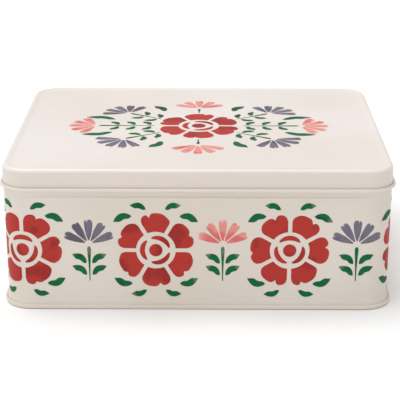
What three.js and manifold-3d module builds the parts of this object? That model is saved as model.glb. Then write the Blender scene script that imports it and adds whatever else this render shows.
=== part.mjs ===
// A rectangular tinplate storage tin with a lift-off lid, in millimetres, +Z up.
// The origin is the middle of the face that the tin stands on, and +X runs along its length.
// It is three pieces of sheet: a wall rolled from one strip and closed by a lock seam at the back,
// a base panel whose edge is folded with the wall's into a double seam, and a drawn lid.
import * as THREE from "three";
import { mergeVertices } from "three/addons/utils/BufferGeometryUtils.js";
import Module from "manifold-3d";

// Sizes that can be set by themselves. The wall's are taken over its outer face.
const bodyLength = 245;
const bodyWidth = 190;
const bodyHeight = 92;
const cornerRadius = 16;
const sheet = 0.3;
const foldGap = 0.1; // free play between two sheets folded over each other

const neckStep = 1; // how far the wall is drawn in where the lid slides over it
const neckSlope = 1; // height over which it is drawn in
const rimDiameter = 2.6; // the wall's top edge, rolled inwards
const beadHeight = 0.5; // the stop bead pressed outwards below the lid, along the straight sides only
const beadFade = 7; // length over which it dies out before each corner
const beadWidth = 2.6;
const beadDrop = 4.2; // from the lid's lower edge down to the middle of the bead

const lidClearance = 0.8; // between the neck and the lid's skirt, all round
const lidRestGap = 0.3; // between the wall's rolled rim and the lid's panel
const lidDepth = 14;
const lidCurlDiameter = 2.2; // the lid's lower edge, rolled outwards
const skirtFlare = 0.3;
const shoulderRadius = 2.2; // on the middle of the sheet
const panelRecess = 0.8; // the lid's panel lies this far below its rim
const recessSlope = 3.2;

const baseFlare = 1.2; // how far the wall spreads out just above the base seam
const flareHeight = 3.5;
const floorHeight = 3.5; // the inner face of the base panel, above what the tin stands on
const floorBend = 0.6;
const bodyHookHeight = 2.2;
const seamHeight = 3;
const coverHookEnd = 1.5; // lower end of the base's hook inside the seam

const lockSeamWidth = 5;
const lockSeamLayers = 2; // extra layers of sheet inside the wall at the lock seam
const lockGrooveWidth = 0.5;
const lockGrooveDepth = 0.12;

// Fineness of the facets.
const cornerSteps = 6;
const arcStep = 40; // degrees

// Profiles are drawn in a plane: x is the way out from the wall's outer face, y is up.
// An arc of the middle of the sheet, from one angle to another in degrees.
function arc(x, y, radius, from, to) {
  const steps = Math.max(2, Math.ceil(Math.abs(to - from) / arcStep));
  const points = [];
  for (let i = 0; i <= steps; i++) {
    const angle = THREE.MathUtils.degToRad(from + ((to - from) * i) / steps);
    points.push(new THREE.Vector2(x + radius * Math.cos(angle), y + radius * Math.sin(angle)));
  }
  return points;
}

// A soft step from one point to another, level at both ends.
function softStep(from, to, steps = 4) {
  const points = [];
  for (let i = 0; i <= steps; i++) {
    const share = i / steps;
    const eased = share * share * (3 - 2 * share);
    points.push(new THREE.Vector2(from.x + (to.x - from.x) * share, from.y + (to.y - from.y) * eased));
  }
  return points;
}

// Both faces of a sheet whose middle runs along a line of points: the one on the right of the line
// from its start, then the one on the left of it from its end.
function bothFaces(middle) {
  const left = [];
  const right = [];
  middle.forEach((point, i) => {
    const before = middle[Math.max(0, i - 1)];
    const after = middle[Math.min(middle.length - 1, i + 1)];
    const inward = point.clone().sub(before).normalize();
    const onward = after.clone().sub(point).normalize();
    const along = inward.clone().add(onward).normalize();
    const normal = new THREE.Vector2(-along.y, along.x);
    const turn = inward.length() && onward.length() ? along.dot(onward) : 1;
    const reach = sheet / 2 / turn;
    left.push(point.clone().addScaledVector(normal, reach));
    right.push(point.clone().addScaledVector(normal, -reach));
  });
  return { right, left: left.reverse() };
}

// Carries an outline round a rounded rectangle. A lathe makes one column of points for each step
// of its turn, and here the columns are shared among the four corners, which stand apart: the
// faces between two corners are then the straight walls. Each corner has a column more at both
// ends, set back along the wall, and the straight outline is used there. Points on the axis stay
// in the middle.
function carriedRound(outline, straightOutline = outline) {
  const perCorner = cornerSteps + 3;
  const columns = 4 * perCorner;
  const geometry = new THREE.LatheGeometry(outline, columns);
  const position = geometry.getAttribute("position");
  const corners = [[1, -1], [1, 1], [-1, 1], [-1, -1]];
  for (let column = 0; column <= columns; column++) {
    const place = column % columns;
    const corner = Math.floor(place / perCorner);
    const step = (place % perCorner) - 1;
    const turned = THREE.MathUtils.clamp(step, 0, cornerSteps);
    const angle = ((corner + turned / cornerSteps - 1) * Math.PI) / 2;
    const setBack = (step - turned) * beadFade;
    const [alongX, alongY] = corners[corner];
    (setBack ? straightOutline : outline).forEach((point, j) => {
      const out = point.x > 0 ? 1 : 0;
      const fromCentreX = out * (alongX * (bodyLength / 2 - cornerRadius) - setBack * Math.sin(angle));
      const fromCentreY = out * (alongY * (bodyWidth / 2 - cornerRadius) + setBack * Math.cos(angle));
      position.setXYZ(
        column * outline.length + j,
        fromCentreX + point.x * Math.cos(angle),
        fromCentreY + point.x * Math.sin(angle),
        point.y,
      );
    });
  }
  geometry.deleteAttribute("normal");
  geometry.deleteAttribute("uv");
  return mergeVertices(geometry, 1e-4);
}

// A lathe measures from the corner's centre, so the wall's outer face is at the corner's radius.
function fromCorner(points) {
  return points.map((point) => new THREE.Vector2(point.x + cornerRadius, point.y));
}

// A closed band of sheet, such as the wall, with one section in the corners and one between them.
function bandOf(...sections) {
  const outlines = sections.map((middle) => {
    const { right, left } = bothFaces(fromCorner(middle));
    return [...right, ...left, right[0].clone()];
  });
  return carriedRound(...outlines);
}

// A pan of sheet: a flat panel in the middle with a formed edge. The panel's middle is level with
// the first point of the edge.
function panOf(edge) {
  const middle = fromCorner(edge);
  const { right, left } = bothFaces([new THREE.Vector2(0, middle[0].y), ...middle]);
  right[0].x = 0;
  left[left.length - 1].x = 0;
  return carriedRound([...right, ...left]);
}

const half = sheet / 2;
const tinHeight = bodyHeight + lidRestGap + sheet + panelRecess;
const lidEdge = tinHeight - lidDepth;

function wallMiddle(swellHeight) {
  const wall = -half;
  const foot = wall + baseFlare;
  const neck = wall - neckStep;
  const rim = (rimDiameter - sheet) / 2;
  const hook = sheet / 2 + foldGap + half; // radius of the fold round the base's hook
  const foldCentre = sheet + foldGap + half + hook;
  const bead = lidEdge - beadDrop;
  const points = [new THREE.Vector2(foot + 2 * hook, bodyHookHeight)];
  points.push(...arc(foot + hook, foldCentre, hook, 360, 180));
  points.push(new THREE.Vector2(foot, seamHeight), new THREE.Vector2(wall, seamHeight + flareHeight));
  for (const share of [-1, -0.5, 0, 0.5, 1]) {
    const swell = (swellHeight * (1 + Math.cos(Math.PI * share))) / 2;
    points.push(new THREE.Vector2(wall + swell, bead + (share * beadWidth) / 2));
  }
  points.push(new THREE.Vector2(wall, lidEdge - neckSlope / 2));
  points.push(new THREE.Vector2(neck, lidEdge + neckSlope / 2));
  points.push(...arc(neck - rim, bodyHeight - rimDiameter / 2, rim, 0, 290));
  return points;
}

function baseMiddle() {
  const counter = baseFlare - sheet - foldGap - half; // the panel's upright, just inside the wall
  const hook = sheet / 2 + foldGap + half;
  const chime = hook + sheet + foldGap; // radius of the fold that carries the tin
  const centre = counter + chime;
  const panel = floorHeight - half;
  return [
    ...arc(counter - floorBend, panel - floorBend, floorBend, 90, 0),
    ...arc(centre, half + chime, chime, 180, 360),
    ...arc(centre + chime - hook, seamHeight - half - hook, hook, 0, 180),
    new THREE.Vector2(centre + chime - 2 * hook, coverHookEnd),
  ];
}

function lidMiddle() {
  const panel = bodyHeight + lidRestGap + half;
  const rim = panel + panelRecess;
  const skirt = -neckStep + lidClearance + half;
  const curl = (lidCurlDiameter - sheet) / 2;
  const crest = skirt - shoulderRadius;
  return [
    ...softStep(new THREE.Vector2(crest - recessSlope, panel), new THREE.Vector2(crest, rim)),
    ...arc(crest, rim - shoulderRadius, shoulderRadius, 90, 0).slice(1),
    ...arc(skirt + skirtFlare + curl, lidEdge + lidCurlDiameter / 2, curl, 180, 490),
  ];
}

const wasm = await Module();
wasm.setup();

function solid(geometry) {
  const bare = new THREE.BufferGeometry();
  bare.setAttribute("position", geometry.getAttribute("position"));
  bare.setIndex(geometry.index);
  const merged = mergeVertices(bare, 1e-4);
  return new wasm.Manifold(
    new wasm.Mesh({
      numProp: 3,
      vertProperties: new Float32Array(merged.getAttribute("position").array),
      triVerts: new Uint32Array(merged.index.array),
    }),
  );
}

function box(sizeX, sizeY, sizeZ, x, y, z) {
  const geometry = new THREE.BoxGeometry(sizeX, sizeY, sizeZ);
  geometry.deleteAttribute("normal");
  geometry.deleteAttribute("uv");
  return solid(geometry.translate(x, y, z));
}

function geometryOf(manifold) {
  const { vertProperties, triVerts, numProp } = manifold.getMesh();
  const position = new Float32Array((vertProperties.length / numProp) * 3);
  for (let i = 0; i < position.length / 3; i++) {
    position.set(vertProperties.subarray(i * numProp, i * numProp + 3), i * 3);
  }
  const geometry = new THREE.BufferGeometry();
  geometry.setAttribute("position", new THREE.BufferAttribute(position, 3));
  geometry.setIndex(new THREE.BufferAttribute(new Uint32Array(triVerts), 1));
  return geometry;
}

// The strip's two ends are hooked together in the middle of the back and pressed flat. The fold
// lies inside the wall, between the flare and the bead, and a shallow groove shows outside.
function wallWithSeam() {
  const low = seamHeight + flareHeight;
  const high = lidEdge - beadDrop - beadWidth;
  const middle = (low + high) / 2;
  const thick = sheet * lockSeamLayers;
  const back = bodyWidth / 2;
  const fold = box(lockSeamWidth, thick + half, high - low, 0, back - half - (thick + half) / 2, middle);
  const groove = box(lockGrooveWidth, 2 * lockGrooveDepth, high - low, lockSeamWidth / 2, back, middle);
  return geometryOf(solid(bandOf(wallMiddle(0), wallMiddle(beadHeight))).add(fold).subtract(groove));
}

const printed = { roughness: 0.42, metalness: 0.1 };
const wallCoat = new THREE.MeshStandardMaterial({ color: 0xe0d6c8, ...printed });
const baseCoat = new THREE.MeshStandardMaterial({ color: 0xd8cdbd, ...printed });
const lidCoat = new THREE.MeshStandardMaterial({ color: 0xebe3da, ...printed });

const pieces = [
  ["body_wall", wallWithSeam(), wallCoat],
  ["base_panel", panOf(baseMiddle()), baseCoat],
  ["lid_shell", panOf(lidMiddle()), lidCoat],
];

// The tin stands on the flat facet under its base seam, which is let down to z = 0.
const base = pieces[1][1];
base.computeBoundingBox();
const standing = base.boundingBox.min.z;

const tin = new THREE.Group();
for (const [name, geometry, material] of pieces) {
  const mesh = new THREE.Mesh(geometry.translate(0, 0, -standing), material);
  mesh.name = name;
  tin.add(mesh);
}

export default tin;
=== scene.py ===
# %% [markdown]
# # A printed storage tin, rebuilt in sheet and ink
# The tin is three pressings of tinplate: a wall rolled from one strip, a base seamed on to it, and a
# lid that slips over the top. Its print is a plain even garland of stencilled flowers on a cream coat.
# We load the plain solid model first. It fixes every size and the one motion, so what follows only
# has to give the same three pressings finer folds, real coats of lacquer, and the flowers.

# %% Load the solid model
import bpy
import math
import random
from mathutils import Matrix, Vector


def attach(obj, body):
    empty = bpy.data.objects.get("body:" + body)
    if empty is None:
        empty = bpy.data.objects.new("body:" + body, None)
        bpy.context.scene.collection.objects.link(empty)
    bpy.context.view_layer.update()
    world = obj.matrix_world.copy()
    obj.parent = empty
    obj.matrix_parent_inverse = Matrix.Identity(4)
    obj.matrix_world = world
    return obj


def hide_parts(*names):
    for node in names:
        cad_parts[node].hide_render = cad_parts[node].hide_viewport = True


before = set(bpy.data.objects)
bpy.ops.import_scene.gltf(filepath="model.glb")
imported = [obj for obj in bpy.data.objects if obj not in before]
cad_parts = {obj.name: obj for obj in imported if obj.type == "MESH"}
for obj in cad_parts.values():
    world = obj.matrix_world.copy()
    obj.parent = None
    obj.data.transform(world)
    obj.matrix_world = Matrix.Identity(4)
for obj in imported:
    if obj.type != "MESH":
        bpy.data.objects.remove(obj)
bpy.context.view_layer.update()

# %% [markdown]
# Sheet metal is drawn in millimetres, and Blender's scene is in metres. One constant converts.
# The sizes are the solid model's own: the outline of the wall's outer face, its corner radius, and
# the heights at which the folds sit.

# %% Sizes of the tin
MM = 0.001
LENGTH, WIDTH, CORNER = 245, 190, 16      # outer face of the wall
SHEET, HALF = 0.3, 0.15                   # tinplate, and the distance from its middle to a face
BODY_TOP, LID_EDGE, TIN_TOP = 92, 79.4, 93.4
PANEL_DROP = 0.8                          # the lid's flat panel lies this far below its rim
SEAM_TOP, FOOT_FLARE = 3, 1.2             # the base seam, and how far the wall spreads to meet it

# %% [markdown]
# ## Folding sheet round a rounded rectangle
# All three pressings have the same plan, a rectangle with round corners, and differ only in section.
# We could extrude and scale ring after ring, but scaling a rectangle also stretches its corners.
# Sweeping is truer: the section is drawn once as a curve, and carried round the outline as the
# tool of a seaming machine is. The outline comes from a plane whose four corners are bevelled.

# %% Helpers: operators work on one thing at a time
def only(*pieces):
    bpy.ops.object.select_all(action="DESELECT")
    for piece in pieces:
        piece.select_set(True)
    bpy.context.view_layer.objects.active = pieces[0]


def edit(piece):
    only(piece)
    bpy.ops.object.mode_set(mode="EDIT")
    bpy.ops.mesh.select_all(action="SELECT")


def done():
    bpy.ops.object.mode_set(mode="OBJECT")


def apply_modifier(piece, kind, **settings):
    only(piece)
    modifier = piece.modifiers.new(kind.title(), kind)
    for name, value in settings.items():
        setattr(modifier, name, value)
    bpy.ops.object.modifier_apply(modifier=modifier.name)


# %% The outline that every section is carried round
CORNER_STEPS = 16


def tin_outline():
    bpy.ops.mesh.primitive_plane_add(size=1)
    outline = bpy.context.object
    outline.scale = (LENGTH * MM, WIDTH * MM, 1)
    bpy.ops.object.transform_apply(scale=True)
    edit(outline)
    bpy.ops.mesh.bevel(offset=CORNER * MM, segments=CORNER_STEPS, affect="VERTICES")
    bpy.ops.mesh.select_all(action="SELECT")
    bpy.ops.mesh.delete(type="ONLY_FACE")
    done()
    bpy.ops.object.convert(target="CURVE")
    outline.data.dimensions = "2D"
    return outline


# %% Sections are points: out from the wall's face, and up
def arc(x, y, radius, start, end, step=18):
    count = max(2, math.ceil(abs(end - start) / step))
    angles = [math.radians(start + (end - start) * i / count) for i in range(count + 1)]
    return [(x + radius * math.cos(a), y + radius * math.sin(a)) for a in angles]


def soft_step(start, end, count=8):
    shares = [i / count for i in range(count + 1)]
    return [(start[0] + (end[0] - start[0]) * t, start[1] + (end[1] - start[1]) * t * t * (3 - 2 * t))
            for t in shares]


def swept_sheet(name, section):
    drawing = bpy.data.curves.new("section", "CURVE")
    spline = drawing.splines.new("POLY")
    spline.points.add(len(section) - 1)
    for point, (x, y) in zip(spline.points, section):
        # A section is seen from the curve's start, so outwards is to the left.
        point.co = (-x * MM, y * MM, 0, 1)
    tool = bpy.data.objects.new("section", drawing)
    bpy.context.collection.objects.link(tool)
    sheet = tin_outline()
    sheet.data.bevel_mode = "OBJECT"
    sheet.data.bevel_object = tool
    only(sheet)
    bpy.ops.object.convert(target="MESH")
    bpy.data.objects.remove(tool)
    sheet.name = sheet.data.name = name
    edit(sheet)
    bpy.ops.mesh.remove_doubles(threshold=1e-6)
    bpy.ops.mesh.normals_make_consistent(inside=False)
    done()
    return sheet


def out_from_wall(co):
    """How far a point lies outside the wall's outer face, in mm, measured square to it."""
    x = abs(co.x) / MM - (LENGTH / 2 - CORNER)
    y = abs(co.y) / MM - (WIDTH / 2 - CORNER)
    if x > 0 and y > 0:
        return math.hypot(x, y) - CORNER
    return max(x, y) - CORNER


def close_panel(sheet, ring):
    """Fill the hole inside the ring of points at the section's start with a flat panel."""
    x, y = ring
    only(sheet)
    for part in (sheet.data.polygons, sheet.data.edges, sheet.data.vertices):
        part.foreach_set("select", [False] * len(part))
    for vertex in sheet.data.vertices:
        vertex.select = (abs(out_from_wall(vertex.co) - x) < 0.05
                         and abs(vertex.co.z / MM - y) < 0.02)
    bpy.ops.object.mode_set(mode="EDIT")
    bpy.ops.mesh.select_mode(type="VERT")
    bpy.ops.mesh.edge_face_add()
    bpy.ops.mesh.inset(thickness=6 * MM)
    bpy.ops.mesh.select_all(action="SELECT")
    bpy.ops.mesh.normals_make_consistent(inside=False)
    done()


# %% [markdown]
# ## The wall
# The strip is folded outwards at the foot to hook under the base, swells in a stop bead below the
# lid, steps in where the lid slides over it, and ends in a rim that is rolled inwards so that no raw
# edge is left to cut a hand. That is one section, from the hook at the foot to the roll at the top.

# %% The wall's section
def wall_section():
    foot, neck = FOOT_FLARE - HALF, -HALF - 1
    hook, roll = 0.4, 1.15
    points = [(foot + 2 * hook, 2.2)] + arc(foot + hook, 0.95, hook, 360, 180)
    points += soft_step((foot, SEAM_TOP), (-HALF, SEAM_TOP + 3.5), 6)
    for i in range(9):
        share = i / 4 - 1
        points.append((-HALF + 0.25 * (1 + math.cos(math.pi * share)), 75 + 1.3 * share))
    points += soft_step((-HALF, LID_EDGE - 0.6), (neck, LID_EDGE + 0.6), 6)
    points += arc(neck - roll, BODY_TOP - 1.3, roll, 0, 290)
    return points


wall = swept_sheet("printed_wall", wall_section())
print("wall:", len(wall.data.polygons), "faces of one sheet")

# %% [markdown]
# The stop bead is pressed only along the straight sides. It dies out before the corners, where the
# sheet is too stiff to be pressed. The swept wall has no points between one corner and the next, so
# it is first cut a little before each corner, and then the bead's points in the corners are let in.

# %% Let the bead die out before the corners
edit(wall)
for side in (-1, 1):
    for reach, direction in ((LENGTH / 2 - CORNER - 7, (1, 0, 0)), (WIDTH / 2 - CORNER - 7, (0, 1, 0))):
        bpy.ops.mesh.select_all(action="SELECT")
        bpy.ops.mesh.bisect(plane_co=[side * reach * MM * way for way in direction], plane_no=direction)
done()
for vertex in wall.data.vertices:
    x = abs(vertex.co.x) / MM - (LENGTH / 2 - CORNER)
    y = abs(vertex.co.y) / MM - (WIDTH / 2 - CORNER)
    if 73.6 < vertex.co.z / MM < 76.4 and x > -1 and y > -1:
        way = Vector((max(x, 0) * math.copysign(1, vertex.co.x),
                      max(y, 0) * math.copysign(1, vertex.co.y), 0))
        swell = out_from_wall(vertex.co) + HALF
        vertex.co -= way.normalized() * swell * MM
print("wall's box in mm:", [round(v / MM, 1) for v in wall.dimensions])

# %% [markdown]
# ## The lock seam
# The strip's ends are hooked into each other in the middle of the back and pressed flat. From
# outside this is only a narrow groove, and inside it is a flat ridge of three extra sheets. The
# groove is cut with three upright bisections, and the middle one is pushed in.

# %% Groove outside, ridge inside
edit(wall)
for x in (2.1, 2.5, 2.9):
    bpy.ops.mesh.select_all(action="SELECT")
    bpy.ops.mesh.bisect(plane_co=(x * MM, 0, 0), plane_no=(1, 0, 0))
done()
for vertex in wall.data.vertices:
    back = vertex.co.y / MM > WIDTH / 2 - 1 and 8 < vertex.co.z / MM < 73
    if back and abs(vertex.co.x / MM - 2.5) < 0.05:
        vertex.co.y -= 0.12 * MM

bpy.ops.mesh.primitive_cube_add(size=1, location=(0, (WIDTH / 2 - 0.62) * MM, 39.5 * MM))
ridge = bpy.context.object
ridge.name = "lock_ridge"
ridge.scale = (5 * MM, 0.62 * MM, 65 * MM)
bpy.ops.object.transform_apply(location=True, scale=True)
edit(ridge)
bpy.ops.mesh.bevel(offset=0.25 * MM, segments=3, affect="EDGES")
done()
print("lock ridge:", [round(v / MM, 2) for v in ridge.dimensions], "mm")

# %% [markdown]
# ## The base
# The base is a shallow pan. Its edge goes down inside the wall, round under the wall's hook and up
# again outside, and is tucked back into the hook: two hooks pressed together, a double seam.

# %% The base's section, and its flat panel
def base_section():
    counter, hook, fold = FOOT_FLARE - 0.55, 0.4, 0.8
    centre = counter + fold
    panel = 3.35
    return [*arc(counter - 0.6, panel - 0.6, 0.6, 90, 0),
            *arc(centre, HALF + fold, fold, 180, 360),
            *arc(centre + fold - hook, SEAM_TOP - HALF - hook, hook, 0, 180),
            (centre + fold - 2 * hook, 1.5)]


base = swept_sheet("seamed_base", base_section())
close_panel(base, base_section()[0])
print("base:", [round(v / MM, 1) for v in base.dimensions], "mm")

# %% [markdown]
# ## The lid
# The lid is drawn in one stroke of a press: a flat panel a little below a soft rim, a round
# shoulder, a skirt that leans out slightly, and an edge rolled outwards into a bead.

# %% The lid's section, and its flat panel
def lid_section():
    rim = TIN_TOP - HALF
    skirt = -1 + 0.8 + HALF
    crest = skirt - 2.2
    return [*soft_step((crest - 3.2, rim - PANEL_DROP), (crest, rim)),
            *arc(crest, rim - 2.2, 2.2, 90, 0)[1:],
            *soft_step((skirt + 0.02, rim - 3.4), (skirt + 0.3, LID_EDGE + 1.1), 4)[:-1],
            *arc(skirt + 0.3 + 0.95, LID_EDGE + 1.1, 0.95, 180, 490)]


lid = swept_sheet("printed_lid", lid_section())
close_panel(lid, lid_section()[0])
print("lid:", [round(v / MM, 1) for v in lid.dimensions], "mm")

# %% [markdown]
# ## Giving the sheets their thickness
# Each pressing is still a single surface through the middle of the sheet. Solidify grows it to both
# sides, and gives the face that it makes a second material, so the inside can stay bare tinplate.

# %% Thickness
for sheet in (wall, base, lid):
    for slot in ("outside", "inside"):
        sheet.data.materials.append(bpy.data.materials.new(slot))
    apply_modifier(sheet, "SOLIDIFY", thickness=SHEET * MM, offset=0, use_even_offset=True,
                   material_offset=1)
    only(sheet)
    bpy.ops.object.shade_smooth_by_angle(angle=math.radians(50))
    print(sheet.name, len(sheet.data.polygons), "faces")

# %% [markdown]
# ## The stencils
# Each flower is printed as separate flat shapes with the cream coat left open between them. A
# stencil starts as a small grid. The grid's two directions, along and across, are laid out by a rule
# for each kind of shape: a petal fans out and ends in lobes, a leaf swells and closes to a point.
# The grid keeps its own UV map, so an ink can later pale towards the outer end of a petal or leaf.

# %% Two blank grids, copied for each shape
def blank_grid(name, along, across):
    bpy.ops.mesh.primitive_grid_add(x_subdivisions=along, y_subdivisions=across, size=1)
    bpy.context.object.name = name
    return bpy.context.object


wide_blank = blank_grid("blank_petal", 3, 30)     # fine across, for lobed edges
long_blank = blank_grid("blank_leaf", 16, 2)      # fine along, for curved sides
inks = {"rose": [], "leaf": [], "fan": [], "dusk": []}
luck = random.Random(4)


def cut(ink, rule, blank=wide_blank):
    """Copy a blank grid and lay it out: rule(along, across) gives a place on the flat sheet."""
    mesh = blank.data.copy()
    for vertex in mesh.vertices:
        x, y = rule(vertex.co.x + 0.5, vertex.co.y + 0.5)
        vertex.co = (x, y, 0)
    shape = bpy.data.objects.new(ink, mesh)
    bpy.context.collection.objects.link(shape)
    inks[ink].append(shape)


# %% Petals: from a root near the flower's middle to a lobed edge
def petal(ink, centre, start, end, root, reach, lobes, depth, gap=1.3, belly=0):
    uneven = luck.choice((-1, 1)) * luck.uniform(0.08, 0.24)

    def rule(along, across):
        place = across + uneven * 4 * across * (1 - across)
        cusp = (1 - abs(math.sin(math.pi * lobes * place))) ** 2.2 * math.sin(math.pi * across) ** 0.5
        round_off = (1 - abs(2 * across - 1) ** 3.6) ** 0.5
        edge = reach * (0.78 + 0.22 * round_off)
        edge -= depth * cusp * (edge - root)
        radius = root + (edge - root) * along
        half = (end - start) / 2
        half = (half - min(gap / radius, half * 0.66)) * (1 + belly * (0.6 - along ** 2))
        angle = (start + end) / 2 + half * (2 * across - 1)
        return centre[0] + radius * math.cos(angle), centre[1] + radius * math.sin(angle)
    cut(ink, rule)


def rosette(centre, turn, size=25.0, count=6):
    """Equal petals round a ring that holds a round bud and three even arcs."""
    start, share = math.radians(turn), 2 * math.pi / count
    for i in range(count):
        petal("rose", centre, start + i * share, start + (i + 1) * share, size * 0.50, size, 2,
              luck.uniform(0.16, 0.26))

    def bud(along, across):
        angle, radius = 2 * math.pi * across, size * 0.17 * along
        return centre[0] + radius * math.cos(angle), centre[1] + radius * math.sin(angle)
    cut("rose", bud)
    for i in range(3):
        def ring_arc(along, across, i=i):
            angle = start + 2 * math.pi * (i + 0.08 + 0.84 * across) / 3
            thick = size * 0.13 * math.sin(math.pi * across) ** 0.5
            radius = size * 0.34 + thick * (along - 0.5)
            return centre[0] + radius * math.cos(angle), centre[1] + radius * math.sin(angle)
        cut("rose", ring_arc)


# %% Leaves and stems: from one end to the other, swelling between
def leaf(start, end, width, bend=0.10):
    """One side full, the other nearly straight and wavy; the sign of bend says which is full."""
    dx, dy = end[0] - start[0], end[1] - start[1]
    long = math.hypot(dx, dy)
    full = 1 if bend >= 0 else -1

    def rule(along, across):
        side = (2 * across - 1) * full
        swell = math.sin(math.pi * along ** 0.9) if 0 < along < 1 else 0
        if side > 0:
            half = 1.15 * swell ** 0.72
        else:
            half = 0.80 * swell * (1 + 0.30 * math.sin(9.5 * along + 0.8))
        off = full * (width / 2 * side * half) + bend * long * math.sin(math.pi * along) * 0.8
        return (start[0] + dx * along - dy / long * off, start[1] + dy * along + dx / long * off)
    cut("leaf", rule, long_blank)


def stem(start, end, thin=0.3, thick=1.8, bend=0.06):
    dx, dy = end[0] - start[0], end[1] - start[1]
    long = math.hypot(dx, dy)

    def rule(along, across):
        flare = thin + (thick - thin) * along ** 1.8
        cup = flare * (1 - max(0, (along - 0.9) / 0.1) ** 2 * 0.5)
        off = cup * (2 * across - 1) + bend * long * math.sin(math.pi * along)
        return (start[0] + dx * along - dy / long * off, start[1] + dy * along + dx / long * off)
    cut("leaf", rule, long_blank)


def fan(ink, hub, petals, root=2.6):
    """Petals that spread from one side of a hub, each given as direction, half width and length."""
    for direction, spread, reach in petals:
        petal(ink, hub, math.radians(direction - spread), math.radians(direction + spread),
              root, reach, 2, luck.uniform(0.10, 0.18), gap=0.35, belly=0.35)


# %% [markdown]
# ## The garland
# The garland is printed on the strip while it is flat. It is a plain even repeat, of the kind found
# on any folk tin: a six-petalled rosette with leaves in its four quarters, then an upright sprig,
# pink and dusky by turns. The step is a tenth of the strip, so the last repeat meets the first.

# %% A rosette with its leaves, and an upright sprig, in mm
BAND = 40        # height of the flowers' middles above the table


def leafy_rosette(x, z, turn):
    rosette((x, z), turn)
    for side in (-1, 1):
        for up in (-1, 1):
            leaf((x + 15 * side, z + 23 * up), (x + 26.5 * side, z + 19 * up), 5.0, 0.1 * side * up)
            leaf((x + 6 * side, z + 27.5 * up), (x + 16 * side, z + 30 * up), 4.2, 0.1 * side * up)


def sprig(ink, x, z):
    """A fan of five even petals on an upright stem, with its leaves in pairs."""
    hub = z + 4
    fan(ink, (x, hub), [(90 + 33 * i, 15, 16.5) for i in range(-2, 3)])
    stem((x, hub - 25), (x, hub - 1.6), 0.3, 1.4, 0)
    for side in (-1, 1):
        for rise in (-21, -13):
            leaf((x + 1.8 * side, hub + rise), (x + 11 * side, hub + rise + 6), 4.6, 0.1 * side)


# %% Repeat them evenly along the strip
GIRTH = 2 * (LENGTH + WIDTH - 4 * CORNER) + 2 * math.pi * CORNER
REPEATS = 10
SHIFT = 16       # brings the back seam between a rosette and a sprig
for i in range(REPEATS):
    x = (i + 0.5) * GIRTH / REPEATS - GIRTH / 2 + SHIFT
    leafy_rosette(x, BAND, 30 * (i % 2))
    sprig(("fan", "dusk")[i % 2], x + GIRTH / REPEATS / 2, BAND)
print("garland:", {ink: len(shapes) for ink, shapes in inks.items()}, "shapes on", round(GIRTH), "mm")

# %% [markdown]
# ## From a flat strip to the rolled wall
# The shapes of one ink become one sheet of film. Before it is bent, it is cut upright wherever the
# wall has a fold line in its corners, so that the film turns exactly where the wall does. Then every
# point moves from the strip to the wall, a few hundredths of a millimetre outside it.

# %% Bend a film round the wall
def side_of_strip(distance):
    """The place on the wall, and its outward direction, at a distance along the strip in mm."""
    straight_x, straight_y = LENGTH / 2 - CORNER, WIDTH / 2 - CORNER
    turn = math.pi * CORNER / 2
    distance = (distance + straight_x) % GIRTH
    x, y, heading = -straight_x, -WIDTH / 2, 0.0
    for run in (2 * straight_x, 2 * straight_y, 2 * straight_x, 2 * straight_y):
        if distance <= run:
            return (x + distance * math.cos(heading), y + distance * math.sin(heading),
                    heading - math.pi / 2)
        x, y = x + run * math.cos(heading), y + run * math.sin(heading)
        distance -= run
        pivot = (x - CORNER * math.sin(heading), y + CORNER * math.cos(heading))
        if distance <= turn:
            outward = heading - math.pi / 2 + distance / CORNER
            return (pivot[0] + CORNER * math.cos(outward), pivot[1] + CORNER * math.sin(outward), outward)
        distance -= turn
        heading += math.pi / 2
        x = pivot[0] + CORNER * math.cos(heading - math.pi / 2)
        y = pivot[1] + CORNER * math.sin(heading - math.pi / 2)
    return x, y, heading - math.pi / 2


def film_of(ink, name):
    shapes = inks[ink]
    only(*shapes)
    bpy.ops.object.join()
    film = bpy.context.object
    film.name = film.data.name = name
    inks[ink] = []
    edit(film)
    bpy.ops.mesh.remove_doubles(threshold=0.002)
    bpy.ops.mesh.dissolve_degenerate(threshold=0.001)
    done()
    return film


def fold_lines():
    straight_x, straight_y = LENGTH / 2 - CORNER, WIDTH / 2 - CORNER
    turn, start, lines = math.pi * CORNER / 2, -straight_x, []
    for run in (2 * straight_x, 2 * straight_y) * 2:
        lines += [start + run + turn * i / CORNER_STEPS for i in range(CORNER_STEPS + 1)]
        start += run + turn
    return lines + [line - GIRTH for line in lines]


SEAM = GIRTH / 2      # the lock seam lies half way round from the middle of the front
BARE = 1.2            # and the strip is left unprinted for this far each side of it

# The inks are printed one over another, so each lies a little further out than the one before.
LIFT = {"fan": 0.03, "dusk": 0.03, "rose": 0.055, "leaf": 0.08}


def wrap(film, lift):
    reach = [vertex.co.x for vertex in film.data.vertices]
    edit(film)
    for line in fold_lines() + [SEAM - BARE, SEAM + BARE]:
        if min(reach) < line < max(reach):
            bpy.ops.mesh.select_all(action="SELECT")
            bpy.ops.mesh.bisect(plane_co=(line, 0, 0), plane_no=(1, 0, 0), threshold=0.0005)
    done()
    for polygon in film.data.polygons:
        polygon.select = abs(polygon.center.x - SEAM) < BARE
    only(film)
    bpy.ops.object.mode_set(mode="EDIT")
    bpy.ops.mesh.select_mode(type="FACE")
    bpy.ops.mesh.delete(type="FACE")
    done()
    for vertex in film.data.vertices:
        x, y, outward = side_of_strip(vertex.co.x)
        vertex.co = ((x + lift * math.cos(outward)) * MM, (y + lift * math.sin(outward)) * MM,
                     vertex.co.y * MM)


def thicken(film):
    apply_modifier(film, "SOLIDIFY", thickness=0.02 * MM, offset=1)
    film.data.polygons.foreach_set("use_smooth", [False] * len(film.data.polygons))
    print(film.name, len(film.data.polygons), "faces")


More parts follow.
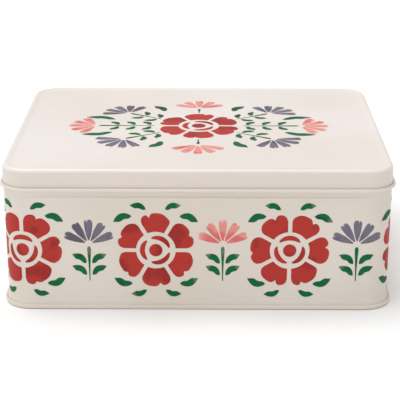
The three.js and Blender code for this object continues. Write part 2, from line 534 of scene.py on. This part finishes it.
wall_films = {ink: film_of(ink, f"wall_{ink}_print") for ink in list(inks)}
for ink, film in wall_films.items():
    wrap(film, LIFT[ink])
    thicken(film)

# %% [markdown]
# ## The wreath on the lid
# The lid carries the same flowers as a plain wreath: one rosette in the middle, and eight small fans
# round an oval, pink and dusky by turns, each on a stem with as many pairs of leaves as it has room
# for. A formula for the oval places everything, so the wreath is centred and even.

# %% Lay out the wreath
OVAL = (70, 42)


def on_oval(turn, scale=1.0):
    return OVAL[0] * scale * math.cos(turn), OVAL[1] * scale * math.sin(turn)


rosette((0, 0), 0, 28)
for i in range(8):
    turn = i * math.pi / 4
    hub = on_oval(turn)
    out = math.hypot(*hub)
    way = (hub[0] / out, hub[1] / out)
    facing = math.degrees(math.atan2(hub[1] / OVAL[1] ** 2, hub[0] / OVAL[0] ** 2))
    fan(("fan", "dusk")[i % 2], hub, [(facing + 31 * j, 14, 19) for j in range(-2, 3)], 2.6)
    stem((way[0] * 30.5, way[1] * 30.5), (way[0] * (out - 1.6), way[1] * (out - 1.6)), 0.3, 1.3, 0)
    for pair in range(int((out - 32) // 11)):
        near = 33 + 11 * pair
        for side in (-1, 1):
            leaf((way[0] * near - way[1] * 1.8 * side, way[1] * near + way[0] * 1.8 * side),
                 (way[0] * (near + 6) - way[1] * 9 * side, way[1] * (near + 6) + way[0] * 9 * side),
                 4.4, 0.1 * side)
    between = turn + math.pi / 8
    mirror = math.copysign(1, math.sin(2 * between))
    leaf(on_oval(between, 0.90), on_oval(between, 1.22), 6.4, 0.1 * mirror)
print("wreath:", {ink: len(shapes) for ink, shapes in inks.items()}, "shapes")

# %% Press it on to the panel
PANEL = TIN_TOP - PANEL_DROP
lid_films = {ink: film_of(ink, f"lid_{ink}_print") for ink in list(inks)}
for ink, film in lid_films.items():
    for vertex in film.data.vertices:
        vertex.co = (vertex.co.x * MM, vertex.co.y * MM, (PANEL + LIFT[ink]) * MM)
    edit(film)
    bpy.ops.mesh.normals_make_consistent(inside=False)
    done()
    thicken(film)
for blank in (wide_blank, long_blank):
    bpy.data.objects.remove(blank)
for film in (*wall_films.values(), *lid_films.values()):
    only(film)
    bpy.ops.object.mode_set(mode="EDIT")
    bpy.ops.mesh.select_mode(type="VERT")
    bpy.ops.mesh.select_all(action="SELECT")
    bpy.ops.mesh.normals_make_consistent(inside=False)
    done()

# %% [markdown]
# ## Writing materials as sums
# A material is a small network of nodes, but most of them are arithmetic. A thin wrapper lets us
# write that arithmetic as ordinary Python: each sum or product of two values adds its math node.

# %% A value in a node tree
class Value:
    def __init__(self, tree, socket):
        self.tree, self.socket = tree, socket

    def math(self, operation, *others):
        node = self.tree.nodes.new("ShaderNodeMath")
        node.operation = operation
        for place, other in enumerate((self, *others)):
            if isinstance(other, Value):
                self.tree.links.new(other.socket, node.inputs[place])
            else:
                node.inputs[place].default_value = other
        return Value(self.tree, node.outputs[0])

    def __add__(self, other): return self.math("ADD", other)
    def __radd__(self, other): return self.math("ADD", other)
    def __mul__(self, other): return self.math("MULTIPLY", other)
    def __sub__(self, other): return self.math("SUBTRACT", other)


class Recipe:
    """A material whose nodes are added one call at a time."""
    def __init__(self, material):
        material.use_nodes = True
        self.tree = material.node_tree
        self.shader = self.tree.nodes["Principled BSDF"]
        place = self.tree.nodes.new("ShaderNodeTexCoord")
        self.place = Value(self.tree, place.outputs["Object"])
        self.uv = Value(self.tree, place.outputs["UV"])

    def node(self, kind, output, settings=None, **inputs):
        node = self.tree.nodes.new(kind)
        for name, value in (settings or {}).items():
            setattr(node, name, value)
        for name, value in inputs.items():
            socket = node.inputs[int(name[1:])] if name[0] == "_" else node.inputs[name.replace("_", " ")]
            if isinstance(value, Value):
                self.tree.links.new(value.socket, socket)
            else:
                socket.default_value = value
        return Value(self.tree, node.outputs[output])

    def noise(self, scale, detail=3, roughness=0.5, at=None, lift=0):
        return self.node("ShaderNodeTexNoise", "Fac", {"noise_dimensions": "4D"}, Vector=at or self.place,
                         Scale=scale, Detail=detail, Roughness=roughness, W=lift)

    def between(self, value, low, high):
        return self.node("ShaderNodeMapRange", "Result", {"interpolation_type": "SMOOTHSTEP"},
                         Value=value, From_Min=low, From_Max=high)

    def mix(self, share, first, second):
        return self.node("ShaderNodeMix", 2, {"data_type": "RGBA"}, _0=share, _6=first, _7=second)

    def set(self, **inputs):
        for name, value in inputs.items():
            socket = self.shader.inputs[name.replace("_", " ")]
            if isinstance(value, Value):
                self.tree.links.new(value.socket, socket)
            else:
                socket.default_value = value

    def bump(self, height, distance, strength=1.0):
        normal = self.node("ShaderNodeBump", "Normal", Height=height, Distance=distance, Strength=strength)
        self.tree.links.new(normal.socket, self.shader.inputs["Normal"])


def colour(red, green, blue):
    """An everyday 0 to 255 colour as the linear light that a shader wants."""
    return (*[((c / 255 + 0.055) / 1.055) ** 2.4 if c > 10 else c / 255 / 12.92
              for c in (red, green, blue)], 1)

# %% [markdown]
# ## The cream coat
# Tinplate for boxes is roller-coated with cream enamel, printed, and varnished. The coat is even but
# not perfect. Its tone drifts a little over a hand's width, the rollers leave a fine texture that
# breaks up reflections, and fingers leave patches that are slightly smoother than the rest. The
# lid's skirt is coloured darker and yellower than its top, as painted shade on the side faces.

# %% Enamel over sheet metal
def enamel(material, red, green, blue, polish=0.36, shaded_below=None):
    coat = Recipe(material)
    drift = coat.noise(9, 2)
    speck = coat.noise(900, 2, 0.6)
    warm = coat.mix(coat.between(drift, 0.35, 0.68), colour(red, green, blue),
                    colour(red - 5, green - 6, blue - 9))
    # Painted shade: below this height the colour is mixed towards a darker, yellower cream.
    if shaded_below:
        height = coat.node("ShaderNodeSeparateXYZ", "Z", Vector=coat.place)
        warm = coat.mix(coat.between(height, shaded_below * MM, (shaded_below + 1.5) * MM),
                        colour(red - 10, green - 11, blue - 16), warm)
    aged = coat.mix(coat.between(speck, 0.66, 0.74) * 0.22, warm, colour(red - 40, green - 45, blue - 55))
    handled = coat.between(coat.noise(28, 4, 0.6, lift=3), 0.42, 0.62)
    coat.set(Base_Color=aged, Roughness=polish + handled * 0.10 + speck * 0.05,
             Coat_Weight=0.2, Coat_Roughness=0.22, IOR=1.5)
    coat.bump(coat.noise(420, 2) + coat.noise(60, 2) * 1.5, 0.00003, 0.5)
    return material


# Painted shade: wall and lid share one cream coat, but the wall's colour is set darker than the lid's, for
# upright sides that the top light misses.
wall_coat = enamel(wall.data.materials[0], 223, 214, 204)
# Painted shade: the lid's skirt, from 2.6 mm under the top down, is coloured darker.
lid_coat = enamel(lid.data.materials[0], 233, 224, 219, 0.33, shaded_below=TIN_TOP - 2.6)
base_coat = enamel(base.data.materials[0], 226, 216, 204, 0.34)
for material, name in ((wall_coat, "wall_coat"), (lid_coat, "lid_coat"), (base_coat, "base_coat")):
    material.name = name

# %% [markdown]
# ## Bare tinplate
# Inside, the sheet is left as it was rolled: bright tin, with fine lines along the strip and a
# faint clouding where the tin cooled. A plain noise gives the clouds, and a noise that is squeezed
# in one direction gives the lines.

# %% Rolled and tinned
def tinplate(material, along):
    tin = Recipe(material)
    squeeze = tin.node("ShaderNodeMapping", "Vector", Vector=tin.place, Scale=along)
    lines = tin.noise(1, 4, 0.6, at=squeeze)
    clouds = tin.noise(38, 3, 0.55, lift=2)
    tone = tin.mix(tin.between(lines * 0.7 + clouds * 0.3, 0.3, 0.7), colour(216, 217, 216),
                   colour(238, 238, 236))
    tin.set(Base_Color=tone, Metallic=1.0, Roughness=0.26 + lines * 0.12 + clouds * 0.05)
    tin.bump(lines, 0.000012, 0.35)
    material.name = "bare_tinplate"
    return material


bare = tinplate(wall.data.materials[1], (60, 60, 1600))
flat_bare = tinplate(lid.data.materials[1], (60, 1600, 60))
base.data.materials[1] = flat_bare
ridge.data.materials.append(bare)
# The lid's rolled bead is coated on the side that shows.
for polygon in lid.data.polygons:
    outside = out_from_wall(polygon.center) > -0.05 and polygon.center.z / MM < LID_EDGE + 3
    if polygon.material_index == 1 and outside:
        polygon.material_index = 0

# %% [markdown]
# ## The inks
# The flowers look brushed through a stencil. Each colour is flat at first sight, with darker pools
# where the brush rested and paler ends where it ran dry. A broad noise makes the pools, and the
# shape's own UV map says how far along a petal or leaf a point lies, for what changes at its ends.

# %% Ink on enamel
def ink_for(name, plain, pooled, dry, pool=(0.52, 0.60), tip=(0.80, 1.0), tip_share=0.0, size=70):
    ink = Recipe(bpy.data.materials.new(name))
    cloud = ink.noise(size, 2, 0.45)
    grain = ink.noise(520, 3, 0.6)
    along = ink.node("ShaderNodeSeparateXYZ", "X", Vector=ink.uv)
    pools = ink.between(cloud + (grain - 0.5) * 0.06, *pool)
    brushed = ink.mix(pools * 0.85, colour(*plain), colour(*pooled))
    chosen = ink.between(ink.noise(38, 1, lift=7), 0.50, 0.58)
    faded = ink.mix(ink.between(along, *tip) * chosen * tip_share, brushed, colour(*dry))
    grained = ink.mix(ink.between(grain, 0.55, 0.75) * 0.14, faded, colour(*dry))
    ink.set(Base_Color=grained, Roughness=0.42 + grain * 0.10, Coat_Weight=0.04, Coat_Roughness=0.25,
            Specular_IOR_Level=0.12)
    ink.bump(grain + ink.noise(60, 2) * 1.5, 0.00003, 0.5)
    return ink.tree, bpy.data.materials[name]


INKS = {
    "rose": ink_for("rose_ink", (178, 54, 46), (150, 42, 38), (196, 82, 70), (0.50, 0.62), tip_share=0.25),
    "leaf": ink_for("leaf_ink", (0, 100, 54), (0, 78, 42), (104, 124, 104), (0.52, 0.62), (0.66, 0.86), 0.9),
    "fan": ink_for("pink_ink", (226, 146, 136), (214, 104, 102), (236, 178, 168), (0.46, 0.58),
                   tip_share=0.4),
    "dusk": ink_for("dusk_ink", (116, 111, 125), (92, 86, 101), (144, 138, 150), (0.48, 0.60), tip_share=0.4),
}
for films in (wall_films, lid_films):
    for ink, film in films.items():
        film.data.materials.clear()
        film.data.materials.append(INKS[ink][1])

# %% [markdown]
# ## Putting the tin together
# Every piece is told which body carries it, and the three pressings take the place of the plain
# solids. The garland belongs to the wall, and the wreath goes up with the lid.

# %% Bodies and replacements
for piece, body, node, slot in ((wall, "tin_body", "body_wall", "printed_wall"),
                                (base, "tin_body", "base_panel", "base_tinplate"),
                                (lid, "lid", "lid_shell", "printed_lid")):
    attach(piece, body)
    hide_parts(node)
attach(ridge, "tin_body")
for films, body, slot in ((wall_films, "tin_body", "printed_wall"), (lid_films, "lid", "printed_lid")):
    for film in films.values():
        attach(film, body)

# %% [markdown]
# ## The studio
# The tin stands on a white table in soft light. A wide lamp above and behind makes the lid the
# brightest face, a weaker one in front keeps the garland readable, and the pale world fills the
# shadows. The camera stands well back with a long lens, so upright edges stay nearly parallel.

# %% Floor and light
bpy.ops.object.select_all(action="DESELECT")
bpy.ops.mesh.primitive_plane_add(size=40, location=(0, 0, -0.0002))
floor = bpy.context.object
floor.name = "table"
white = Recipe(bpy.data.materials.new("table_white"))
white.set(Base_Color=(0.93, 0.93, 0.93, 1), Roughness=0.9)
floor.data.materials.append(bpy.data.materials["table_white"])

world = bpy.data.worlds.new("pale_room")
bpy.context.scene.world = world
world.use_nodes = True
world.node_tree.nodes["Background"].inputs["Color"].default_value = (1, 1, 1, 1)
world.node_tree.nodes["Background"].inputs["Strength"].default_value = 0.57


def lamp(name, place, towards, size, power):
    light = bpy.data.lights.new(name, "AREA")
    light.shape, light.size, light.energy = "SQUARE", size, power
    holder = bpy.data.objects.new(name, light)
    bpy.context.collection.objects.link(holder)
    holder.location = place
    holder.rotation_euler = (Vector(towards) - Vector(place)).to_track_quat("-Z", "Y").to_euler()


sky = bpy.data.lights.new("skylight", "SUN")
sky.energy, sky.angle = 1.9, math.radians(50)
skylight = bpy.data.objects.new("skylight", sky)
bpy.context.collection.objects.link(skylight)
skylight.rotation_euler = Vector((0.22, -0.08, -1)).to_track_quat("-Z", "Y").to_euler()
lamp("front_lamp", (-0.6, -1.5, 0.4), (0, 0, 0.03), 0.6, 2.4)

bpy.context.scene.view_settings.view_transform = "Standard"

# %% Camera
view = bpy.data.cameras.new("view")
camera = bpy.data.objects.new("view", view)
bpy.context.collection.objects.link(camera)
view.lens, view.sensor_width = 112.2, 36
camera.location = (0.008, -0.819, 0.346)
camera.rotation_euler = (math.radians(90 - 20.6), 0, math.radians(0.5))
bpy.context.scene.camera = camera
